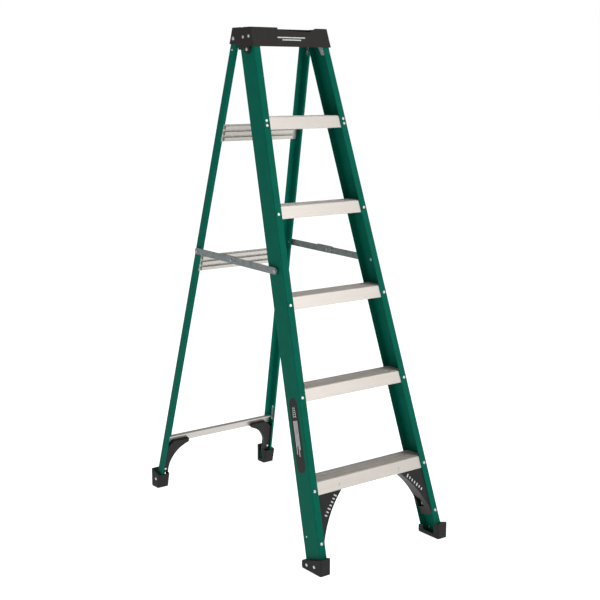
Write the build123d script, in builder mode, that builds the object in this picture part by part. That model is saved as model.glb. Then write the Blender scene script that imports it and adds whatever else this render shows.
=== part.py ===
"""Four-legged folding stepladder with five flat steps, a moulded top cap and folding spreaders.

Millimetres, +Z up, the floor is z = 0 and the origin is below the middle of the ladder's footprint.
+X runs across the ladder and the steps face -Y. The ladder stands open, its spreaders locked straight.

Two leaning frames of reference carry most pieces. In each one local x runs across, local y is the
depth behind the rails' front faces and local z is the length up the slope from the floor.
"""
import os
from math import cos, hypot, radians, sin, tan

from build123d import *

# ---------------------------------------------------------------- driving dimensions
ladder_height = 1744.5          # floor to the rim of the top cap
foot_spread = 1038.5            # floor distance between the front faces of front and rear rails
front_lean = 17.26              # degrees from vertical
rear_lean = 13.69
front_base_half = 270.4         # outer half width of the front rails at the floor
front_flare = 0.0620            # how much each front rail comes in per mm of slope
rear_base_half = 268.1
rear_flare = 0.0599

# Rails
front_web = 80.0                # depth of the front channel
front_flange = 26.0
rear_web = 29.7
rear_flange = 32.8
rear_lip = 9.0
rail_wall = 3.4
rail_outer_round = 3.2
rail_inner_round = 1.4

# Steps
step_count = 5
step_spacing = 304.8            # along the slope
first_step = 269.6              # slope length of the lowest step's rivets
step_rise = 25.5                # rivet line up to the front edge of the tread
skirt_drop = 15.5               # rivet line down to the lower edge of the front skirt
rear_skirt = 34.0
step_wall = 1.8
skirt_return = 7.0
rib_count = 12
rib_width = 2.2
rib_height = 0.9
seat_gap = 0.1                  # between pieces that are riveted together
end_gap = 1.6                   # step and brace ends to rail web

# Feet
sole = 6.0
boot_wall = 4.5
front_boot_side = 9.0           # boot wall outside the front rail at the floor
front_boot_height = 53.0
rear_boot_height = 57.0
toe_ahead = 2.0
front_heel_behind = 17.0
rear_heel_behind = 12.0
boot_round = 4.0

# Top cap
cap_skirt = 64.5
cap_rear_skirt = 54.5
cap_wall = 3.5
cap_front_gap = 0.5
cap_rear_gap = 1.0
cap_side_gap = 0.6
tray_depth = 13.5
cap_round = 5.0
slot_size = (76.0, 30.0)
slot_centre = -82.0
bit_hole_radius = 15.0
bit_hole_centre = 84.0

# Pivot of the rear frame
hinge_drop = 36.0               # below the rim of the cap
hinge_depth = 12.0              # behind the front face of the rear rails
pivot_radius = 4.0
running_gap = 0.05

# Spreaders
spreader_width = 24.0
spreader_wall = 2.5
front_pivot_slope = 1002.0
front_pivot_depth = 37.0
rear_pivot_slope = 980.0
rear_pivot_depth = 14.8
front_link_length = 259.4
rail_clearance = 1.5            # rear rail to inner link, at the rear pivot
link_gap = 0.6
rear_link_tail = 27.0
hood_behind = 59.0
hood_height = 2.0
hood_gap = 0.4

# Rear horizontals
horizontal_ends = 12.0          # from the outer face of the rail
horizontal_height = 62.0
upper_horizontal = 1387.0       # slope length of the lower edge
middle_horizontal = 896.0
lower_horizontal = 178.0
lower_height = 34.0
lower_shelf = 14.0

# Rivets
rivet_radius = 3.0
head_radius = 5.4
head_height = 2.4
tail_radius = 4.4
tail_height = 1.8
flange_inset = 12.5             # rivet line from the outer face of the front rails
rear_inset = 19.0
big_head_radius = 7.0

# Knee braces
brace_wall = 3.0
brace_top = 276.0
brace_bottom = 88.0
brace_front_reach = 118.0       # from the middle to the tip of the front plate
brace_rear_reach = 150.0
brace_belly = 189.0             # slope length at the middle of the concave edge
brace_front_belly = 189.0       # and how far out the edge is there
brace_rear_belly = 213.0
brace_front_toe = 241.0         # lower end of the edge
brace_rear_toe = 245.0
brace_rear_depth = 73.5
brace_tip_height = 13.0
brace_rivet_slope = 100.9
brace_rivet_x = 130.0
brace_tail = 3.8
rear_brace_top = 191.0
rear_brace_bottom = 58.5
rear_brace_reach = 150.0
rear_brace_depth = 8.0
rear_brace_shoulder = 30.0      # bevel at the upper outer corner

# Labels
label_thickness = 0.4
side_label = (247.0, 44.0)
side_label_slope = 456.5
rear_label = (64.0, 13.0)
rear_label_slope = 226.0

# ---------------------------------------------------------------- frames of reference
front_angle = radians(front_lean)
rear_angle = radians(rear_lean)
overall_depth = foot_spread + rear_web / cos(rear_angle) + toe_ahead + rear_heel_behind
front_y = toe_ahead - overall_depth / 2
rear_y = front_y + foot_spread
across = Vector(1, 0, 0)
FRONT = Plane(origin=(0, front_y, 0), x_dir=across, z_dir=(0, sin(front_angle), cos(front_angle)))
REAR = Plane(origin=(0, rear_y, 0), x_dir=across, z_dir=(0, -sin(rear_angle), cos(rear_angle)))
base_half = {FRONT: front_base_half, REAR: rear_base_half}
flare = {FRONT: front_flare, REAR: rear_flare}


def half_width(frame, slope):
    """Outer half width of a pair of rails at a slope length."""
    return base_half[frame] - flare[frame] * slope


def spot(frame, x, depth, slope):
    """Point given across, behind the rails' front face and up the slope."""
    return frame.from_local_coords(Vector(x, depth, slope))


def elevation(frame, depth):
    """Sketch plane seen from the front: x across, y up the slope; it extrudes forward."""
    return Plane(origin=spot(frame, 0, depth, 0), x_dir=across, z_dir=-frame.y_dir)


def profile_plane(frame):
    """Sketch plane seen from the side: x is depth, y is up the slope; it extrudes along +X."""
    return Plane(origin=frame.origin, x_dir=frame.y_dir, z_dir=across)


def web_plane(frame, inset, side=1):
    """Plane parallel to a rail's web, inset from its outer face: x is depth, y is up the rail."""
    outward = side * across + flare[frame] * frame.z_dir
    return Plane(origin=spot(frame, side * (base_half[frame] - inset), 0, 0), x_dir=frame.y_dir, z_dir=outward)


def front_line(depth, z):
    """World y of the line at one depth behind the front rails' face, at height z."""
    return front_y + z * tan(front_angle) + depth / cos(front_angle)


def rear_line(depth, z):
    """World y of the line at one depth behind the rear rails' front face, at height z."""
    return rear_y - z * tan(rear_angle) + depth / cos(rear_angle)


# ---------------------------------------------------------------- shared pieces
os.makedirs("parts", exist_ok=True)


def save(piece, label):
    """Label one finished piece and write it."""
    piece.part.label = label
    export_step(piece.part, f"parts/{label}.step")


def save_pair(right, label):
    """Write a right-hand piece and its mirror image."""
    save(right, f"{label}_right")
    with BuildPart() as left:
        mirror(right.part, about=Plane.YZ)
    save(left, f"{label}_left")


def rivet(grip, head=head_radius, shank=rivet_radius, tail=tail_radius):
    """Round-headed rivet: its head stands on the sketch plane and its shank runs down through the grip."""
    with BuildPart() as body:
        Cylinder(head, head_height, align=(Align.CENTER, Align.CENTER, Align.MIN))
        fillet(body.edges().group_by(Axis.Z)[-1], head_height * 0.8)
        Cylinder(shank, grip, align=(Align.CENTER, Align.CENTER, Align.MAX))
        with Locations((0, 0, -grip)):
            Cylinder(tail, tail_height, align=(Align.CENTER, Align.CENTER, Align.MAX))
    return body.part


def save_rivets(label, groups, both_sides=True):
    """Write one node of identical fasteners: groups are (rivet, planes) pairs on the +X side."""
    with BuildPart() as group:
        for fastener, planes in groups:
            with Locations(*planes):
                add(fastener)
        if both_sides:
            mirror(about=Plane.YZ)
    save(group, label)


def forward_plane(frame, x, depth, slope):
    """Plane of a rivet whose head faces forward."""
    return Plane(origin=spot(frame, x, depth, slope), x_dir=across, z_dir=-frame.y_dir)


def rearward_plane(frame, x, depth, slope):
    """Plane of a rivet whose head faces rearward."""
    return Plane(origin=spot(frame, x, depth, slope), x_dir=across, z_dir=frame.y_dir)


def outward_plane(frame, x, depth, slope):
    """Plane of a fastener whose head faces out along +X."""
    point = spot(frame, x, depth, slope)
    return Plane(origin=point, x_dir=(0, 1, 0), z_dir=across)


def drill(planes, radius=rivet_radius, depth=40.0):
    """Holes for shanks, centred on the planes given."""
    with Locations(*planes):
        Cylinder(radius, depth, mode=Mode.SUBTRACT)


def both(planes):
    """The planes given and their mirror images."""
    flipped = [Plane(origin=(-p.origin.X, p.origin.Y, p.origin.Z), x_dir=p.x_dir, z_dir=(-p.z_dir.X, p.z_dir.Y, p.z_dir.Z))
               for p in planes]
    return list(planes) + flipped


# ---------------------------------------------------------------- where things are
steps = [first_step + n * step_spacing for n in range(step_count)]
tread_depth = front_web - 2 * (rail_wall + seat_gap)
tread_climb = tread_depth * tan(front_angle)
skirt_front = rail_wall + seat_gap
skirt_rear = front_web - rail_wall - seat_gap

hinge_z = ladder_height - hinge_drop
hinge_y = rear_line(hinge_depth, hinge_z)
hinge_local = REAR.to_local_coords(Vector(0, hinge_y, hinge_z))
rear_rail_reach = rear_web - hinge_depth        # hinge axis to the rear face of the rear rail

front_pivot = spot(FRONT, 0, front_pivot_depth, front_pivot_slope)
rear_pivot = spot(REAR, 0, rear_pivot_depth, rear_pivot_slope)
spreader_run = hypot(rear_pivot.Y - front_pivot.Y, rear_pivot.Z - front_pivot.Z)
link_share = front_link_length / spreader_run
centre_pivot = front_pivot + (rear_pivot - front_pivot) * link_share
inner_link_x = half_width(REAR, rear_pivot_slope) + rail_clearance
outer_link_x = inner_link_x + spreader_wall + link_gap
front_rail_x = half_width(FRONT, front_pivot_slope)

# Rivets through the front flange and step, as forward-facing planes
def flange_rivets(slope):
    return [forward_plane(FRONT, half_width(FRONT, slope) - flange_inset, 0, slope)]


step_slopes = steps[:-1] + [steps[-1] + 14.4, steps[-1] - 2.2]
front_flange_planes = [flange_rivets(slope)[0] for slope in step_slopes]
rear_flange_slopes = [slope + 34.0 for slope in steps]
rear_flange_planes = [rearward_plane(FRONT, half_width(FRONT, slope) - flange_inset, front_web, slope)
                      for slope in rear_flange_slopes]
brace_flange_plane = flange_rivets(brace_rivet_slope)
brace_skirt_plane = [forward_plane(FRONT, brace_rivet_x, skirt_front, first_step + 1.6)]
cap_rail_spots = [(43.0, 1806.0), (10.5, 1798.0), (31.0, 1758.5)]       # depth, slope
front_boot_spots = [(63.0, 38.0), (23.0, 32.0)]
brace_bolt_spots = [(61.0, 126.0)]
front_web_spots = cap_rail_spots + front_boot_spots + brace_bolt_spots
rear_boot_spots = [(15.0, 33.0)]
horizontal_slopes = [upper_horizontal + 14, upper_horizontal + 48, middle_horizontal + 14,
                     middle_horizontal + 48, lower_horizontal + 24]
horizontal_planes = [rearward_plane(REAR, half_width(REAR, slope) - rear_inset, rear_web, slope)
                     for slope in horizontal_slopes]
rear_brace_plane = [rearward_plane(REAR, half_width(REAR, 75) - rear_inset, rear_web, 75)]
hinge_rivet_slope = 1716.0
small_rivet = 2.4
hinge_rivet_plane = [outward_plane(REAR, half_width(REAR, hinge_rivet_slope) + 0.3, hinge_depth + 1, hinge_rivet_slope)]


# ---------------------------------------------------------------- rails
def channel_face(frame, slope, web, front_reach, rear_reach):
    """Cross-section of a right-hand rail at one slope length: a web with a front and a rear flange."""
    x = half_width(frame, slope)
    inside = x - rail_wall
    outline = [(x, 0), (x, web), (x - rear_reach, web), (x - rear_reach, web - rail_wall), (inside, web - rail_wall),
               (inside, rail_wall), (x - front_reach, rail_wall), (x - front_reach, 0)]
    with BuildSketch(frame.offset(slope)) as section:
        with BuildLine():
            Polyline(*outline, close=True)
        make_face()
        fillet(section.vertices().filter_by_position(Axis.X, x - 0.1, x + 0.1), rail_outer_round)
        fillet(section.vertices().filter_by_position(Axis.X, inside - 0.1, inside + 0.1), rail_inner_round)
    return section.sketch


def envelope_face(frame, slope, web, reach):
    """The rectangle round a right-hand rail's cross-section, with the seat gap all round."""
    with BuildSketch(frame.offset(slope)) as section:
        with Locations((half_width(frame, slope) - reach / 2, web / 2)):
            Rectangle(reach + 2 * seat_gap, web + 2 * seat_gap)
    return section.sketch


front_rail_top = ladder_height - tray_depth - cap_wall - 1.5
rail_blank = (-30.0, 1900.0)      # slope lengths between which a rail is drawn before it is cut
with BuildPart() as front_rail:
    loft([channel_face(FRONT, end, front_web, front_flange, front_flange) for end in rail_blank])
    split(bisect_by=Plane.XY.offset(sole), keep=Keep.TOP)
    split(bisect_by=Plane.XY.offset(front_rail_top), keep=Keep.BOTTOM)
    drill(front_flange_planes + rear_flange_planes + brace_flange_plane, depth=10)
    drill([outward_plane(FRONT, half_width(FRONT, s), d, s) for d, s in front_web_spots], depth=16)
    drill([outward_plane(FRONT, front_rail_x, front_pivot_depth, front_pivot_slope)], pivot_radius, 16)
save_pair(front_rail, "front_rail")

with BuildPart() as rear_rail:
    loft([channel_face(REAR, end, rear_web, rear_lip, rear_flange) for end in rail_blank])
    split(bisect_by=Plane.XY.offset(sole), keep=Keep.TOP)
    # The top is rounded about the hinge, so that it turns inside the cap.
    with BuildSketch(profile_plane(REAR)):
        with Locations((hinge_depth, hinge_local.Z)):
            Circle(rear_rail_reach)
        with Locations((rear_web / 2, hinge_local.Z)):
            Rectangle(rear_web * 2, 4000, align=(Align.CENTER, Align.MAX))
    extrude(amount=400, mode=Mode.INTERSECT)
    drill(horizontal_planes + rear_brace_plane, depth=10)
    drill([outward_plane(REAR, half_width(REAR, s), d, s) for d, s in rear_boot_spots], depth=16)
    drill([outward_plane(REAR, half_width(REAR, rear_pivot_slope), rear_pivot_depth, rear_pivot_slope)], depth=16)
    drill([outward_plane(REAR, half_width(REAR, hinge_local.Z), hinge_depth, hinge_local.Z)],
          pivot_radius + running_gap, 30)
    drill(hinge_rivet_plane, small_rivet, 30)
save_pair(rear_rail, "rear_rail")


# ---------------------------------------------------------------- steps
def step_end(side):
    """Plane at a step's end, just inside the rail's web."""
    return web_plane(FRONT, rail_wall + end_gap, side)


for number, slope in enumerate(steps, start=1):
    front_top = slope + step_rise
    rear_top = front_top + tread_climb
    with BuildPart() as step:
        with BuildSketch(profile_plane(FRONT)):
            with BuildLine():
                Polyline(
                    (skirt_front + skirt_return, slope - skirt_drop),
                    (skirt_front, slope - skirt_drop),
                    (skirt_front, front_top),
                    (skirt_rear, rear_top),
                    (skirt_rear, rear_top - rear_skirt),
                    (skirt_rear - skirt_return, rear_top - rear_skirt))
                offset(amount=step_wall, side=Side.RIGHT, kind=Kind.INTERSECTION)
            make_face()
            # Raised anti-slip ribs, in three bands across the tread.
            for rib in range(rib_count):
                share = (rib + 1.1 + (rib // 4) * 0.9) / (rib_count + 3.2)
                with Locations((skirt_front + share * tread_depth, front_top + share * tread_climb)):
                    Rectangle(rib_width, 2 * rib_height, rotation=front_lean)
        extrude(amount=front_base_half, both=True)
        for side in (1, -1):
            split(bisect_by=step_end(side), keep=Keep.BOTTOM)
        drill(both(front_flange_planes + rear_flange_planes), depth=14)
        if number == 1:
            drill(both(brace_skirt_plane), depth=12)
    save(step, f"step_{number}")

# ---------------------------------------------------------------- top cap
cap_draft = front_flare
cap_outer_x = half_width(REAR, hinge_local.Z) + cap_side_gap + cap_wall
tray_floor = ladder_height - tray_depth
cap_ceiling = tray_floor - cap_wall
cap_front_bottom = ladder_height - cap_skirt
cap_rear_bottom = ladder_height - cap_rear_skirt


def cap_side(inset, side):
    """Side plane of the cap, which leans like the rails, inset from its outer face."""
    return Plane(origin=(side * (cap_outer_x - inset), 0, hinge_z), z_dir=(side, 0, cap_draft))


def cap_block(front_depth, rear_depth, low_front, low_rear, high, inset):
    """Solid between two side planes whose front and rear faces lean like the rails."""
    with BuildPart() as block:
        with BuildSketch(Plane.YZ):
            with BuildLine():
                Polyline(
                    (front_line(front_depth, low_front), low_front),
                    (front_line(front_depth, high), high),
                    (rear_line(rear_depth, high), high),
                    (rear_line(rear_depth, low_rear), low_rear),
                    close=True)
            make_face()
        extrude(amount=400, both=True)
        for side in (1, -1):
            split(bisect_by=cap_side(inset, side), keep=Keep.BOTTOM)
    return block.part


cap_front_depth = -cap_front_gap - cap_wall
cap_rear_depth = rear_web + cap_rear_gap + cap_wall
cap_shell = cap_block(cap_front_depth, cap_rear_depth, cap_front_bottom, cap_rear_bottom, ladder_height, 0)
cap_hollow = cap_block(-cap_front_gap, rear_web + cap_rear_gap, 1500, 1500, cap_ceiling, cap_wall)
cap_tray = cap_block(-cap_front_gap, rear_web + cap_rear_gap, tray_floor, tray_floor, ladder_height + 9, cap_wall)
cap_middle_y = (front_line(0, tray_floor) + rear_line(rear_web, tray_floor)) / 2
hinge_plane = Plane(origin=(0, hinge_y, hinge_z), x_dir=(0, 1, 0), z_dir=across)


def cap_cheek(side):
    """Thick side wall of the cap that carries one front rail, with the ear below it."""
    with BuildPart() as cheek:
        with BuildSketch(profile_plane(FRONT)):
            with Locations(cap_rail_spots[2]):
                Circle(15.0)
                Rectangle(30.0, 40.0, align=(Align.CENTER, Align.MIN))
            with Locations((front_web / 2, 1772.0)):
                Rectangle(front_web - 4, 60.0, align=(Align.CENTER, Align.MIN))
        extrude(amount=side * 400)
        split(bisect_by=cap_side(0, side), keep=Keep.BOTTOM)
        split(bisect_by=web_plane(FRONT, -seat_gap, side), keep=Keep.TOP)
        split(bisect_by=Plane.XY.offset(cap_ceiling), keep=Keep.BOTTOM)
    return cheek.part


cap_cheeks = [cap_cheek(side) for side in (1, -1)]

with BuildPart() as top_cap:
    add(cap_shell)
    fillet(top_cap.edges().filter_by(Axis.X, reverse=True).filter_by(
        lambda edge: abs(edge.center().Z - ladder_height) > 10 and abs(edge.tangent_at(0.5).Z) > 0.7), cap_round)
    add(cap_hollow, mode=Mode.SUBTRACT)
    add(cap_tray, mode=Mode.SUBTRACT)
    add(cap_cheeks)
    # The front rim dips in the middle, and each side rim has a small notch.
    with BuildSketch(Plane.XZ.offset(-front_line(0, tray_floor) - 14)):
        with BuildLine():
            Polyline((-52, ladder_height + 9), (-52, ladder_height - 6), (36, tray_floor + 1.2),
                     (89, tray_floor + 1.2), (112, ladder_height), (112, ladder_height + 9), close=True)
        make_face()
    extrude(amount=40, mode=Mode.SUBTRACT)
    with Locations((0, cap_middle_y - 6, ladder_height)):
        Box(400, 7, 6, mode=Mode.SUBTRACT)
    # Tool slot and round tool hole in the tray.
    with BuildSketch(Plane.XY.offset(cap_ceiling - 5)):
        with Locations((slot_centre, cap_middle_y)):
            RectangleRounded(*slot_size, 6)
        with Locations((bit_hole_centre, cap_middle_y)):
            Circle(bit_hole_radius)
    extrude(amount=40, mode=Mode.SUBTRACT)
    drill([hinge_plane], pivot_radius, 400)
    drill(both([outward_plane(FRONT, half_width(FRONT, s), d, s) for d, s in cap_rail_spots]), depth=30)
save(top_cap, "top_cap")


# ---------------------------------------------------------------- boots
def boot(frame, web, reach, outline, outer_x, inner_x, height, spots):
    """Moulded foot: a block round the rail's end, with a rail socket and an open inner side."""
    with BuildPart() as foot:
        with BuildSketch(Plane.YZ.offset(inner_x)):
            with BuildLine():
                Polyline(*outline, close=True)
            make_face()
        extrude(amount=outer_x - inner_x)
        upright = foot.edges().filter_by(lambda edge: abs(edge.tangent_at(0.5).Z) > 0.8)
        fillet(upright, boot_round)
        loft([envelope_face(frame, end, web, reach) for end in (-40.0, 200.0)], mode=Mode.SUBTRACT)
        split(bisect_by=frame.offset(height), keep=Keep.BOTTOM)
        # The floor of the socket is closed again by the sole.
        with BuildSketch(Plane.YZ.offset(inner_x + 0.5)):
            with BuildLine():
                low = outline[0][0] + 4
                high = outline[-1][0] - 4
                Polyline((low, 0), (high, 0), (high, sole - seat_gap), (low, sole - seat_gap), close=True)
            make_face()
        extrude(amount=outer_x - inner_x - 1)
        # Window in the inner wall.
        with BuildSketch(Plane.YZ.offset(inner_x - 1)):
            middle = (outline[0][0] + outline[-1][0]) / 2 + sin(front_angle) * 12
            with Locations((middle, sole + 8)):
                Rectangle(web * 0.66, height, align=(Align.CENTER, Align.MIN))
        extrude(amount=reach - rail_wall - 4, mode=Mode.SUBTRACT)
        drill([outward_plane(frame, half_width(frame, s), d, s) for d, s in spots], depth=30)
    return foot


front_heel = front_line(front_web, 0) + front_heel_behind
front_outline = [(front_y - toe_ahead, 0), (front_y - toe_ahead, 90), (front_heel, 90), (front_heel, 8),
                 (front_heel - 6, 0)]
front_boot_outer = front_base_half + front_boot_side
front_boot_inner = front_base_half - front_flange - boot_wall - 1
front_boot = boot(FRONT, front_web, front_flange, front_outline, front_boot_outer, front_boot_inner,
                  front_boot_height, front_boot_spots)
save_pair(front_boot, "front_boot")

rear_heel = rear_line(rear_web, 0) + rear_heel_behind
rear_outline = [(rear_line(-boot_wall, 0), 0), (rear_line(-boot_wall, 90), 90), (rear_heel, 90), (rear_heel, 8),
                (rear_heel - 6, 0)]
rear_boot_outer = rear_base_half + front_boot_side
rear_boot_inner = rear_base_half - rear_flange - boot_wall - 1
rear_boot = boot(REAR, rear_web, rear_flange, rear_outline, rear_boot_outer, rear_boot_inner,
                 rear_boot_height, rear_boot_spots)
save_pair(rear_boot, "rear_boot")

# ---------------------------------------------------------------- knee braces
def brace_face(depth, reach, belly, toe, wall):
    """Section of the front knee brace across the ladder: a corner with a concave lower edge.

    With a wall, it is the hollow inside that section, which is open towards the step.
    """
    web_top = half_width(FRONT, brace_top) - rail_wall - end_gap - wall
    web_low = half_width(FRONT, brace_bottom) - rail_wall - end_gap - wall
    low = brace_bottom + wall
    top = brace_top + 5 * wall
    tip = (reach + 2 * wall, brace_top - brace_tip_height + wall)
    with BuildSketch(elevation(FRONT, depth)) as section:
        with BuildLine():
            Polyline((toe + wall, low), (web_low, low), (web_top, brace_top), (web_top, top), (tip[0], top), tip)
            ThreePointArc(tip, (belly + wall, brace_belly + wall), (toe + wall, low))
        make_face()
    return section.sketch


def brace_solid(front_depth, rear_depth, wall=0.01):
    """The brace's outer form, or with a wall the hollow inside it."""
    with BuildPart() as form:
        loft([brace_face(rear_depth, brace_rear_reach, brace_rear_belly, brace_rear_toe, wall),
              brace_face(front_depth, brace_front_reach, brace_front_belly, brace_front_toe, wall)])
    return form.part


brace_form = brace_solid(skirt_front, brace_rear_depth)
brace_hollow = brace_solid(skirt_front + brace_wall, brace_rear_depth - brace_wall, brace_wall)
with BuildPart() as front_brace:
    add(brace_form)
    add(brace_hollow, mode=Mode.SUBTRACT)
    # Access window to the bolt, on the side that faces the middle.
    with BuildSketch(elevation(FRONT, brace_rear_depth - brace_wall)):
        with Locations((brace_rear_toe - 8, brace_bottom + 52)):
            Rectangle(26, 46)
    extrude(amount=34, mode=Mode.SUBTRACT)
    # Step back behind the skirt of the lowest step.
    with BuildSketch(elevation(FRONT, skirt_front + step_wall + seat_gap)):
        with Locations((0, first_step - skirt_drop - 0.3)):
            Rectangle(600, 80, align=(Align.CENTER, Align.MIN))
    extrude(amount=10, mode=Mode.SUBTRACT)
    with BuildSketch(elevation(FRONT, skirt_front + skirt_return + 1)):
        with Locations((0, first_step - skirt_drop - 0.3)):
            Rectangle(600, step_wall + 0.6, align=(Align.CENTER, Align.MIN))
    extrude(amount=10, mode=Mode.SUBTRACT)
    drill(brace_flange_plane + brace_skirt_plane, depth=20)
    drill(front_flange_planes[:1], tail_radius + 1, 22)
    drill([outward_plane(FRONT, half_width(FRONT, s), d, s) for d, s in brace_bolt_spots])
save_pair(front_brace, "front_knee_brace")

# Bolt through the brace and the rail's web: its head is inside the brace and its end is flush outside.
depth, slope = brace_bolt_spots[0]
bolt_seat_x = half_width(FRONT, slope) - rail_wall - end_gap - brace_wall - 0.4
with BuildPart() as brace_bolt:
    with BuildSketch(outward_plane(FRONT, bolt_seat_x, depth, slope)):
        Circle(rivet_radius)
    extrude(amount=half_width(FRONT, slope) - bolt_seat_x - 0.2)
    with BuildSketch(outward_plane(FRONT, bolt_seat_x, depth, slope)):
        Circle(head_radius + 1.6)
    extrude(amount=-1.2)
    with BuildSketch(outward_plane(FRONT, bolt_seat_x - 1.2, depth, slope)):
        RegularPolygon(radius=head_radius, side_count=6)
    extrude(amount=-3.6)
save_pair(brace_bolt, "front_brace_bolt")

with BuildPart() as rear_brace:
    shoulder = rear_brace_top - rear_brace_shoulder
    web_x_top = half_width(REAR, shoulder) - rail_wall - end_gap
    web_x_low = half_width(REAR, rear_brace_bottom) - rail_wall - end_gap
    brace_back = rear_web - rail_wall - seat_gap - step_wall - seat_gap
    with BuildSketch(elevation(REAR, brace_back)):
        with BuildLine():
            Polyline((230, rear_brace_bottom), (web_x_low, rear_brace_bottom), (web_x_top, shoulder),
                     (web_x_top - 36, rear_brace_top), (rear_brace_reach, rear_brace_top),
                     (rear_brace_reach, rear_brace_top - 14))
            ThreePointArc((rear_brace_reach, rear_brace_top - 14), (205, 140), (230, rear_brace_bottom))
        make_face()
    extrude(amount=brace_back - rear_brace_depth)
    with BuildSketch(elevation(REAR, brace_back)):
        with BuildLine():
            Polyline((235, rear_brace_bottom + 30), (web_x_low - 4, rear_brace_bottom + 30),
                     (web_x_top - 4, shoulder - 2), (web_x_top - 38, rear_brace_top - 4),
                     (166, rear_brace_top - 4), (166, rear_brace_top - 14))
            ThreePointArc((166, rear_brace_top - 14), (211, 144), (235, rear_brace_bottom + 30))
        make_face()
    extrude(amount=brace_back - rear_brace_depth - brace_wall, mode=Mode.SUBTRACT)
    drill(rear_brace_plane, depth=60)
save_pair(rear_brace, "rear_knee_brace")


# ---------------------------------------------------------------- rear horizontals
seat = rear_web - rail_wall - seat_gap
ridge = 9.0
band_ends = 34.0                # where the raised bands end, from the outer face of the rail


def save_horizontal(label, outline, low, high, trim):
    """Extruded bar across the rear rails, seated on the front of their rear flanges."""
    with BuildPart() as bar:
        with BuildSketch(profile_plane(REAR)):
            with BuildLine():
                Polyline(*outline, close=True)
            make_face()
        extrude(amount=rear_base_half, both=True)
        for side in (1, -1):
            split(bisect_by=web_plane(REAR, horizontal_ends, side), keep=Keep.BOTTOM)
        if trim:
            # The raised bands stop short of the rivets.
            with BuildSketch(elevation(REAR, seat - step_wall)):
                with Locations((0, (low + high) / 2)):
                    Rectangle(4 * rear_base_half, high - low)
                    Rectangle(2 * (half_width(REAR, (low + high) / 2) - band_ends), high - low, mode=Mode.SUBTRACT)
            extrude(amount=2 * ridge, mode=Mode.SUBTRACT)
        planes = [p for p, slope in zip(horizontal_planes, horizontal_slopes) if low < slope < high]
        drill(both(planes), depth=60)
    save(bar, label)


def ridged_outline(low):
    """Side outline of a wide extruded bar: a plate with three raised bands."""
    plate = seat - step_wall
    points = [(seat, low), (seat, low + horizontal_height)]
    band = horizontal_height / 3
    for n in (2, 1, 0):
        top = low + (n + 1) * band
        points += [(plate, top), (plate, top - 3), (plate - ridge, top - 4.5), (plate - ridge, top - band + 4.5),
                   (plate, top - band + 3)]
    points.append((plate, low))
    return points


save_horizontal("rear_horizontal_upper", ridged_outline(upper_horizontal), 1300, 1500, True)
save_horizontal("rear_horizontal_middle", ridged_outline(middle_horizontal), 800, 1000, True)
low = lower_horizontal
save_horizontal("rear_horizontal_lower",
                [(seat, low), (seat, low + lower_height), (seat - lower_shelf, low + lower_height),
                 (seat - lower_shelf, low + lower_height - 4), (seat - lower_shelf + 1.6, low + lower_height - 4),
                 (seat - lower_shelf + 1.6, low + lower_height - step_wall),
                 (seat - step_wall, low + lower_height - step_wall), (seat - step_wall, low)], 100, 300, False)

# ---------------------------------------------------------------- pivot of the rear frame
hinge_rail_x = half_width(REAR, hinge_local.Z)
washer_wall = 1.6
nut_wall = 5.0
nut_gap = 1.2
nut_outer_x = hinge_rail_x - rail_wall - 2.0 - nut_gap

with BuildPart() as pivot_bolt:
    with BuildSketch(hinge_plane.offset(cap_outer_x + 0.4)):
        Circle(head_radius + 1)
    extrude(amount=3.4)
    fillet(pivot_bolt.edges().group_by(Axis.X)[-1], 2.4)
    with BuildSketch(hinge_plane.offset(cap_outer_x + 0.4)):
        Circle(pivot_radius)
    extrude(amount=-(cap_outer_x + 0.4 - nut_outer_x + washer_wall + nut_wall + 2))
save_pair(pivot_bolt, "pivot_bolt")

with BuildPart() as pivot_nut:
    with BuildSketch(hinge_plane.offset(nut_outer_x)):
        Circle(8.5)
    extrude(amount=-washer_wall)
    with BuildSketch(hinge_plane.offset(nut_outer_x - washer_wall)):
        RegularPolygon(radius=7.2, side_count=6)
    extrude(amount=-nut_wall)
    drill([hinge_plane], pivot_radius, 400)
save_pair(pivot_nut, "pivot_nut")

# Steel plates inside the webs: one where the cap is riveted on, one round the hinge.
with BuildPart() as cap_plate:
    with BuildSketch(web_plane(FRONT, rail_wall + seat_gap)):
        with BuildLine():
            Polyline((5, 1785), (5, 1802), (55, 1802), (55, 1790), (44, 1750), (20, 1742), close=True)
        make_face()
    extrude(amount=-2.0)
    drill([outward_plane(FRONT, half_width(FRONT, s), d, s) for d, s in cap_rail_spots], depth=30)
save_pair(cap_plate, "cap_plate")

with BuildPart() as hinge_plate:
    with BuildSketch(web_plane(REAR, rail_wall + seat_gap)):
        with Locations((hinge_depth + 1, 1704)):
            RectangleRounded(15, 50, 3, align=(Align.CENTER, Align.MIN))
    extrude(amount=-2.0)
    split(bisect_by=REAR.offset(hinge_local.Z + 11), keep=Keep.BOTTOM)
    drill([hinge_plane], pivot_radius + running_gap, 400)
    drill(hinge_rivet_plane, small_rivet, 30)
save_pair(hinge_plate, "hinge_plate")

# ---------------------------------------------------------------- spreaders
def link_plane(x, point):
    """Plane across the ladder at a spreader pivot: x runs along the spreader, towards the rear."""
    run = (rear_pivot - front_pivot).normalized()
    return Plane(origin=(x, point.Y, point.Z), x_dir=run, z_dir=across)


with BuildPart() as front_link:
    with BuildSketch(link_plane(outer_link_x, front_pivot)):
        with Locations((front_link_length / 2, 0)):
            SlotCenterToCenter(front_link_length, spreader_width)
        with Locations((front_link_length - 26, 0)):
            Circle(2.6, mode=Mode.SUBTRACT)
    extrude(amount=spreader_wall)
    with BuildSketch(link_plane(outer_link_x + spreader_wall, front_pivot)):
        with Locations((front_link_length - 12, 0)):
            Circle(3.4)
    extrude(amount=0.9)
    drill([link_plane(outer_link_x, front_pivot)], pivot_radius + running_gap)
    drill([link_plane(outer_link_x, centre_pivot)], pivot_radius)
save_pair(front_link, "spreader_front_link")

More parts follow.
